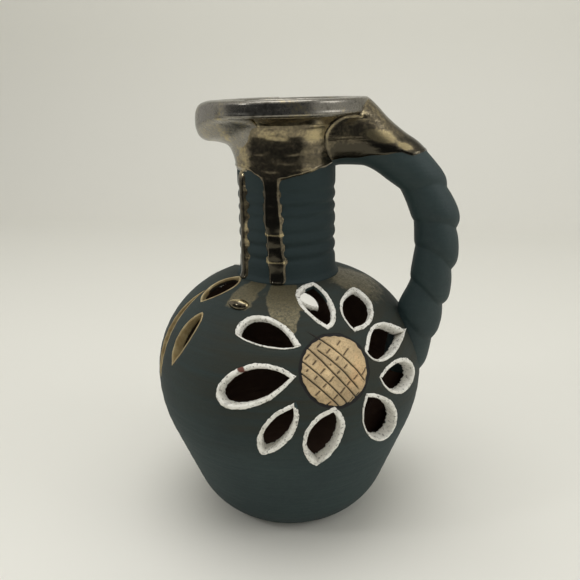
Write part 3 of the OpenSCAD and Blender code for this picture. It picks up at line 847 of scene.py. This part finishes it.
# profile up the outside and down the bore, turned round the axis
def buildNeck(n):
    z = np.linspace(n["foot"], n["top"], n["rows"])
    low = np.linspace(n["top"], n["foot"], n["inside"])
    profile = np.vstack([np.column_stack([neckRadius(z), z]), np.column_stack([neckBore(low), low])])
    finish = np.concatenate([np.zeros(n["rows"]), np.where(low > n["dip"], 2, 1)])
    makePiece("jugNeck", lean(turned(profile, n["cols"])), [gridQuads(len(profile), n["cols"], True, True)],
              [neckSlip, clay, bronze], ["neck"], np.repeat(finish, n["cols"]))


buildNeck(jugNeck)


# Rim ring: a flat band with a beaded lower edge, its section turned round the axis

rim = dict(
    section=[
        (33.0, 240.8), (33.0, 246.0), (34.0, 248.8), (36.6, 249.9), (41.5, 250.0), (44.2, 249.7),
        (45.3, 248.6), (45.45, 246.5), (45.4, 244.4), (45.6, 243.1), (45.4, 242.2), (44.6, 241.5),
        (43, 241.0), (38, 240.8)],
    rows=110, cols=256, uneven=0.15, swell=1.6, swellReach=15)


# section turned round the axis, its radius swollen by a bell of the angle where the handle is luted on
def buildRim(r):
    knots = np.array(r["section"])
    profile = evenSteps(throughKnots(np.vstack([knots, knots[:1]]), 500), r["rows"], closed=True)
    points = turned(profile, r["cols"])
    turn = np.arctan2(points[:, 1], points[:, 0])
    points[:, 2] += r["uneven"] * wobble(turn, (2, 3, 5), 8)
    far = np.hypot(points[:, 0], points[:, 1])
    swell = r["swell"] * ease(far, 38, 45) * np.exp(-(turn / rad / r["swellReach"]) ** 2)
    points[:, :2] *= (1 + swell / far)[:, None]
    makePiece("rimRing", lean(points), [gridQuads(r["rows"], r["cols"], True, True)], [bronze],
              ["rim_ring"])


buildRim(rim)


# Drinking spout: a lobe drawn out of rim and neck. Row by row up the jug, the profile goes from the ring to
# the lobe by a squared cosine of the angle from the spout, over a half width of its own; a small drinking
# hole is pressed in. rows: ring radius and height, lobe radius and height, half width of the lobe

spout = dict(
    rows=[
        (28.6, 212, 28.6, 212, 60), (28.5, 220, 30.3, 219.5, 62), (28.6, 226, 33.4, 224.8, 66),
        (29.6, 232, 39.6, 226.8, 70), (32.6, 236.5, 46.2, 227.5, 70), (38.5, 240, 49.8, 230.0, 67),
        (44.9, 241.3, 51.2, 234.0, 63), (45.6, 243.5, 51.6, 238.7, 60), (45.5, 246.5, 51.1, 243.6, 58),
        (45.2, 248.8, 49.4, 247.0, 56), (43.4, 250.0, 46.6, 249.0, 55), (40, 250.3, 42.3, 250.0, 54)],
    sink=0.35, back=2.4, backDrop=0.6, hole=2.4, holeEdge=0.7, holeHeight=237.0, holeDepth=7.0,
    holeFrom=45, up=140, cols=260, reach=73)


def buildSpout(p):
    table = throughKnots(p["rows"], p["up"])
    turn = np.linspace(-p["reach"], p["reach"], p["cols"])[None]
    ringR, ringZ, lobeR, lobeZ, half = (table[:, k:k + 1] for k in range(5))
    share = np.cos(np.clip(turn / half, -1, 1) * math.pi / 2) ** 2
    r = ringR + share * (lobeR - ringR) - p["sink"] * (1 - ease(share, 0, 0.12))
    z = ringZ + share * (lobeZ - ringZ)
    a = math.pi + turn * rad
    away = np.hypot(r * np.sin(turn * rad), z - p["holeHeight"])
    hole = within(away, p["hole"] - p["holeEdge"], 2 * p["holeEdge"]) * (r > p["holeFrom"])
    front = roundAxis(r - p["holeDepth"] * hole, a, z).reshape(-1, 3)
    behind = roundAxis(ringR - p["back"], a, ringZ - p["backDrop"] * ease(ringZ, 240, 249)).reshape(-1, 3)
    quads = gridQuads(p["up"], p["cols"], False, False)
    n = len(front)
    walls = shellWalls(openEdges(quads, n), n)
    dark = (hole.ravel()[quads] > 0.75).all(1)
    finish = np.concatenate([dark, np.zeros(len(quads) + len(walls))])
    makePiece("drinkingSpout", lean(np.vstack([front, behind])), [quads, quads[:, ::-1] + n, walls],
              [bronze, clay], ["drinking_spout"], finish)


buildSpout(spout)


# Handle: a roll between an outer and an inner rail in the plane of the handle, pinched by finger creases
# that slant from the inner to the outer rail, glazed above the dip line.
# rails: outer radius and height, inner radius and height, half width across; creases: place at the inner and
# outer rail, counted in rails, and depth; giltAndHighlight: radius, height, and reach along and across of a
# golden painted highlight

handle = dict(
    rails=[
        (26, 249.4, 24, 214.5, 14.0), (38, 250.6, 33, 213.9, 14.4), (45.6, 250.3, 40, 213.7, 14.6),
        (50.8, 246.0, 45.3, 213.2, 14.2), (57.4, 238.8, 51, 210.6, 13.6), (65.8, 231.8, 57.5, 206, 13.3),
        (75.2, 225.2, 63.4, 201.4, 13.1), (83.8, 215.7, 68, 195, 12.9), (90.8, 205.9, 71.3, 188.6, 12.8),
        (95.2, 196.5, 73.2, 182.4, 12.7), (98.2, 188, 74.3, 176, 12.6), (99.3, 180, 74.6, 168.5, 12.6),
        (99.6, 171, 74.4, 162, 12.6), (99.2, 161.4, 73.9, 156, 12.6), (97.8, 152.5, 73.2, 149.5, 12.5),
        (96.6, 145, 71.8, 143.5, 12.4), (95.2, 137.5, 69.5, 138, 12.3), (93.4, 131, 67.2, 132.5, 12.2),
        (92, 124.3, 65, 126, 12.0), (90.1, 116.6, 63, 118, 11.7), (87.1, 106.7, 61, 108, 11.2),
        (84.1, 97, 60, 98.5, 10.2), (80, 90.5, 61, 91.5, 8.6)],
    creases=[
        (6.2, 8.3, 2.4), (8.8, 10.9, 2.7), (10.9, 13.5, 2.7), (14.2, 16.5, 2.6), (17.6, 19.6, 2.2)],
    tuck=0.32, ledge=1.0, swell=0.7, fillet=2.4, rimRadius=45.6, boreGap=1.8, tip=31, glaze=0.6, bead=0.3,
    giltAndHighlight=[(55, 230, 6.5, 2.6), (67.5, 225, 4, 1.8)], rows=400, cols=120,
    dip=[(28, 217.5), (44, 219.2), (54, 220.7), (66, 221.8), (72, 220.4), (78, 221.4), (95, 222)])


# depth of the creases: each falls off steeply above its slanting line and slowly below it
def handlePinch(p, station, a):
    pinch = 0
    for k, (first, last, depth) in enumerate(p["creases"]):
        off = station - (first + last) / 2 - (last - first) / 2 * np.cos(a) - 0.2 * np.sin(2 * a + k)
        tuck = np.exp(-(np.abs(off) / p["tuck"]) ** 1.3)
        ledge = np.exp(-(np.abs(off) / p["ledge"]) ** 1.1)
        pinch = pinch + depth * (0.70 + 0.30 * np.cos(a)) * np.where(off < 0, tuck, ledge)
    return pinch


# ellipse between the rails at each place, grown and pinched, filleted to rim and neck, lifted by its glaze
def buildHandle(p):
    rows, cols = p["rows"], p["cols"]
    table = np.column_stack([p["rails"], np.arange(len(p["rails"]))])
    table = evenSteps(throughKnots(table, 2000), rows)
    outer, inner, across, station = table[:, :2], table[:, 2:4], table[:, 4:5], table[:, 5:6]
    middle, half = (outer + inner) / 2, (outer - inner) / 2
    size = np.linalg.norm(half, axis=1)[:, None]
    a = np.arange(cols) * tau / cols
    swell = p["swell"] * ease(station, 6, 8)  # the lobes stand out a little past the rails
    grow = 1 + (swell - handlePinch(p, station, a)) / size
    rho, z = (middle[:, k:k + 1] + half[:, k:k + 1] * np.cos(a) * grow for k in (0, 1))
    y = across * np.sin(a) * grow
    top = jugNeck["top"]
    near = np.hypot(rho, y) - np.where(z > top, p["rimRadius"], neckRadius(np.minimum(z, top)))
    close = np.exp(-np.clip(near, 0, 50) / p["fillet"])
    y, z = y + p["fillet"] * close * np.sin(a), z - p["fillet"] / 2 * close * np.clip(-np.cos(a), 0, 1)
    # the root stays outside the bore
    bore = neckBore(z) + 3.6 * ease(z, 246, 250) + p["boreGap"]
    rho = np.maximum(rho, np.sqrt(np.clip(bore ** 2 - y ** 2, 0, None)))
    glaze = z - np.interp(rho, *np.transpose(p["dip"])) - 0.3 * np.sin(rho / 2.3 + np.sign(y))
    lift = p["glaze"] * (1 - np.exp(-np.clip(glaze, 0, 9) / 0.8))
    lift = lift + p["bead"] * np.exp(-((glaze - 0.8) / 0.6) ** 2)
    lift = 1 + lift * ease(station, 1.5, 4) / size
    rho = middle[:, :1] + (rho - middle[:, :1]) * lift
    z = middle[:, 1:] + (z - middle[:, 1:]) * lift
    points = np.stack([rho, y * lift, z], -1).reshape(-1, 3)
    tips = np.column_stack([[p["tip"], middle[-1, 0]], [0, 0], middle[[0, -1], 1]])
    start, end = np.arange(cols), (rows - 1) * cols + np.arange(cols)
    faceSets = [gridQuads(rows, cols), fan(start, rows * cols)[:, ::-1], fan(end, rows * cols + 1)]
    thinAndHighlight = (0.45 - 0.3 * ease(z, 234, 240)) * np.exp(-((near - 1.0) / 0.8) ** 2)
    thinAndHighlight = thinAndHighlight - 0.7 * np.exp(-((glaze - 3.5) / 4) ** 2)
    # golden patches on the upper front of the handle: painted highlights
    for x, high, wide, tall in p["giltAndHighlight"]:
        thinAndHighlight = thinAndHighlight + 2.4 * np.exp(-((rho - x) / wide) ** 2 - ((z - high - 0.25 * (x - rho)) / tall) ** 2)
    marks = {"glaze": np.append(glaze, [9, -9]), "thinAndHighlight": np.append(thinAndHighlight, [0, 0])}
    makePiece("twistedHandle", np.vstack([points, tips]), faceSets, [dippedSlip], ["handle"],
              None, marks)


buildHandle(handle)


# Glaze on the upper neck: a skin that rises from the neck by its distance inside the edge line and the runs,
# and a bead of glaze on the shoulder. edge: angle and height; runs: the same along each path, and half width

glazeCoat = dict(
    edge=[
        (-180, 213), (-142, 213), (-120, 212), (-107.5, 209), (-80, 209), (-63, 211), (-24, 214.5),
        (7, 218), (60, 214), (110, 212), (180, 213)],
    runs=[
        ((-96, 208), (-95.5, 190), (-93, 172), (-90.5, 153), 4.6),
        ((-140, 208), (-139, 185), (-141, 162), (-139, 152), 3.6)],
    thick=0.9, bead=0.3, round=1.7, ripple=0.035, wave=0.11, ribShare=0.08, back=1.4,
    highlightRungs=(178.2, 162.6), highlightRungAngle=-94, low=150.6, high=240.9, rows=200, cols=420,
    drop=dict(angle=-111.7, height=142.9, wide=6.6, tall=3.5, high=3.4, sunk=0.35, rings=24, cols=64))


# distance in millimetres from points on the unrolled neck to a bent line
def fromLine(x, z, knots):
    best = np.full(np.broadcast(x, z).shape, 1e3)
    for (x0, z0), (x1, z1) in zip(knots[:-1], knots[1:]):
        dx, dz = x1 - x0, z1 - z0
        t = np.clip(((x - x0) * dx + (z - z0) * dz) / (dx * dx + dz * dz), 0, 1)
        best = np.minimum(best, np.hypot(x - x0 - t * dx, z - z0 - t * dz))
    return best


# depth inside the edge of coat and runs, and the share of the coat: a run is its half width less the
# distance from its path, joined to the coat by a smooth maximum
def glazeDepth(g, angle, z):
    wide = jugNeck["radius"] * rad
    above = z - np.interp(angle, *np.transpose(g["edge"]))
    depth = above - 0.5 * wobble(angle * rad, (5, 8, 13, 21), 31)
    for *run, half in g["runs"]:
        path = [(a * wide, h) for a, h in run]
        d = half + 0.35 * np.sin(z / 4.1) + 0.15 * np.sin(z / 1.7) - fromLine(angle * wide, z, path)
        mix = np.clip(0.5 + (depth - d) / 12, 0, 1)
        depth = d + (depth - d) * mix + 3 * mix * (1 - mix)
    return depth, ease(above, -7, 0)


# height over the neck: the coat is a skin with a beaded edge and ripples, the runs are round
def glazeRise(g, depth, coat, a, z):
    film = g["thick"] * (1 - np.exp(-np.clip(depth, 0, 20) / 0.7))
    film = film + g["bead"] * np.exp(-((depth - 1.1) / 0.7) ** 2)
    x = np.clip(depth / 4.4, 0, 1)
    rise = coat * film + (1 - coat) * g["round"] * np.sqrt(x * (2 - x))
    ripple = np.sin(1.5 * z + 0.8 * np.sin(3 * a)) * (1 + np.sin(0.23 * z + 9 * a))
    wave = np.sin(9 * a + 1.7 * np.sin(0.55 * z))
    rise = rise + coat * ease(depth, 0, 3) * (g["ripple"] * ripple + g["wave"] * wave)
    rise = np.where(depth < 0.05, 0.5 * np.clip(depth, -1.2, 0), rise)
    return rise * np.where(z > 236, 0.6, 1)


# golden mark on the coat: thin glaze in a band under the rim, painted reflections in two upright patches
# and painted highlights on the rungs across the run
def glazeThinAndHighlight(g, depth, coat, angle, z):
    thinAndHighlight = 0.36 * ease(z, 225, 230) * (1 - ease(z, 232, 237)) - 0.75 * (1 - coat) * ease(depth, 0.5, 1.5)
    # two upright golden patches at the sides of the neck: painted reflections
    thinAndHighlight = thinAndHighlight + 0.22 * within(angle + 42, 8, 12) + 0.3 * within(angle + 137, 8, 10)
    # golden rungs across the front run: painted highlights
    for rung in g["highlightRungs"]:
        band = np.exp(-((z - rung) / 0.6) ** 2) * (np.abs(angle - g["highlightRungAngle"]) < 12)
        thinAndHighlight = thinAndHighlight + 1.6 * (1 - coat) * band
    return thinAndHighlight


# drop on the shoulder: rings from its middle out, domed, its upper side golden as a painted highlight
def glazeDrop(b):
    f, t = np.linspace(0, 1, b["rings"])[:, None], np.arange(b["cols"]) * tau / b["cols"]
    u, v = b["wide"] * f * np.cos(t), b["tall"] * f * np.sin(t) * (1 + 0.2 * np.cos(t))
    s = upTo(b["height"]) + v
    high = b["high"] * np.sqrt(np.clip(1 - f ** 2.4, 0, 1)) - b["sunk"]
    # upper half golden: a painted highlight
    giltAndHighlight = 1.6 * ease(np.sin(t) + 0 * f, -0.4, 0.4)
    return bodyPoint(b["angle"] * rad + u / bodyRadius(s), s, high).reshape(-1, 3), giltAndHighlight.ravel()


def buildGlaze(g):
    rows, cols, drop = g["rows"], g["cols"], g["drop"]
    z = np.linspace(g["low"], g["high"], rows)[:, None]
    angle = (np.arange(cols) * 360 / cols - 180)[None]
    depth, coat = glazeDepth(g, angle, z)
    r = neckRadius(z, g["ribShare"]) + glazeRise(g, depth, coat, angle * rad, z)
    points = lean(roundAxis(r, angle * rad, z).reshape(-1, 3))
    quads = gridQuads(rows, cols)
    quads = quads[(depth.ravel()[quads] > -1.0).any(1)]
    used, quads = np.unique(quads, return_inverse=True)
    quads, skin = quads.reshape(-1, 4), points[used]
    n = len(skin)
    back = skin.copy()
    back[:, :2] *= 1 - g["back"] / np.hypot(back[:, :1], back[:, 1:2])
    dome, giltAndHighlight = glazeDrop(drop)
    faceSets = [quads, quads[:, ::-1] + n, shellWalls(openEdges(quads, n), n),
                gridQuads(drop["rings"], drop["cols"]) + 2 * n]
    thinAndHighlight = np.concatenate([glazeThinAndHighlight(g, depth, coat, angle, z).ravel()[used], np.zeros(n), giltAndHighlight])
    makePiece("glazeRuns", np.vstack([skin, back, dome]), faceSets, [darkBronze],
              ["glaze_runs"], None, {"thinAndHighlight": thinAndHighlight})


buildGlaze(glazeCoat)

# The tube inside stays as it is in the frame
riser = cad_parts["riser_tube"]
riser.data.materials.clear()
riser.data.materials.append(clay)


# Stage, light and camera: lengths here are metres, apart from the camera's place

studio = dict(
    floorTone=(0.80, 0.79, 0.73), wide=3.2, front=-1.6, back=0.75, bend=0.35, high=1.8,
    lamps=[
        ("topLamp", (-0.05, 0.0, 1.25), 1.0, 6.3), ("leftLamp", (-1.0, -0.5, 0.75), 0.8, 1.2),
        ("rightLamp", (1.1, -0.2, 0.7), 0.7, 2.6), ("windowLamp", (-0.42, -0.34, 0.50), 0.07, 0.30)],
    aim=(0, 0, 0.14), tone=(0.80, 0.79, 0.75), fill=0.63, seen=0.74,
    flag=dict(tone=(0.080, 0.085, 0.098), first=-165, last=-43, far=0.62, high=0.62))


# a stage piece of one matte tone, not part of the jug
def makeStage(name, points, quads, tone, rough):
    mesh = bpy.data.meshes.new(name)
    mesh.from_pydata(points.reshape(-1, 3).tolist(), [], quads.tolist())
    mesh.polygons.foreach_set("use_smooth", np.ones(len(mesh.polygons), bool))
    piece = bpy.data.objects.new(name, mesh)
    bpy.context.scene.collection.objects.link(piece)
    material, _, shader = newMaterial(name)
    plug(shader, {"Base Color": (*tone, 1), "Roughness": rough})
    mesh.materials.append(material)
    return piece


# floor that bends up into a backdrop: a straight line, a quarter circle and a straight line, drawn wide
def buildStage(p):
    a = np.linspace(0, math.pi / 2, 24)
    bend = np.column_stack([p["back"] + p["bend"] * np.sin(a), p["bend"] * (1 - np.cos(a))])
    line = np.vstack([[[p["front"], 0]], bend, [[p["back"] + p["bend"], p["high"]]]])
    x = np.array([-p["wide"] / 2, p["wide"] / 2])
    points = np.stack(np.broadcast_arrays(x[None], line[:, :1], line[:, 1:]), -1)
    makeStage("floor", points, gridQuads(len(line), 2, False, False), p["floorTone"], 0.6)


# dark cloth in front, an upright part of a cylinder that only reflections show, like a dark room
def buildFlag(p):
    a = np.linspace(p["first"], p["last"], 48) * rad
    points = roundAxis(p["far"], a, [[0.0], [p["high"]]])
    cloth = makeStage("darkCloth", points, gridQuads(2, len(a), False, False), p["tone"], 1.0)
    cloth.visible_camera = cloth.visible_diffuse = cloth.visible_shadow = False


# soft lamps aimed at the jug, and a pale world that lights it less than it shows
def buildLight(p):
    for name, at, size, power in p["lamps"]:
        lamp = bpy.data.lights.new(name, "AREA")
        lamp.shape, lamp.size, lamp.energy = "DISK", size, power
        thing = bpy.data.objects.new(name, lamp)
        thing.location = at
        thing.rotation_euler = (Vector(p["aim"]) - Vector(at)).to_track_quat("-Z", "Y").to_euler()
        bpy.context.scene.collection.objects.link(thing)
    world = bpy.data.worlds.new("studioWorld")
    bpy.context.scene.world = world
    world.use_nodes = True
    tree = world.node_tree
    path = put(tree, "ShaderNodeLightPath").outputs
    seen = sums("MAXIMUM", path["Is Camera Ray"], path["Is Glossy Ray"])
    seen = sums("MAXIMUM", seen, path["Is Transmission Ray"])
    strength = span(seen, 0, 1, p["fill"], p["seen"])
    plug(tree.nodes["Background"], {"Color": (*p["tone"], 1), "Strength": strength})


view = dict(at=(76.57, -376.37, 262.84), ahead=(-0.187, 0.932, -0.311), roll=0.91, focus=660, image=580,
            sensor=36, near=0.01)  # focus and image in pixels


# camera at a place, looking ahead, its right and up directions turned by the roll
def buildCamera(v):
    ahead = Vector(v["ahead"]).normalized()
    right = ahead.cross(Vector((0, 0, 1))).normalized()
    up = right.cross(ahead)
    c, s = math.cos(v["roll"] * rad), math.sin(v["roll"] * rad)
    right, up = right * c - up * s, up * c + right * s
    camera = bpy.data.objects.new("camera", bpy.data.cameras.new("camera"))
    turn = Matrix((right, up, -ahead)).transposed().to_4x4()
    camera.matrix_world = Matrix.Translation(Vector(v["at"]) * mm) @ turn
    camera.data.sensor_width = v["sensor"]
    camera.data.lens = v["sensor"] * v["focus"] / v["image"]
    camera.data.clip_start = v["near"]
    bpy.context.scene.collection.objects.link(camera)
    bpy.context.scene.camera = camera


buildStage(studio)
buildFlag(studio["flag"])
buildLight(studio)
buildCamera(view)
bpy.context.scene.view_settings.view_transform = "Standard"
print("stage, light and camera made")
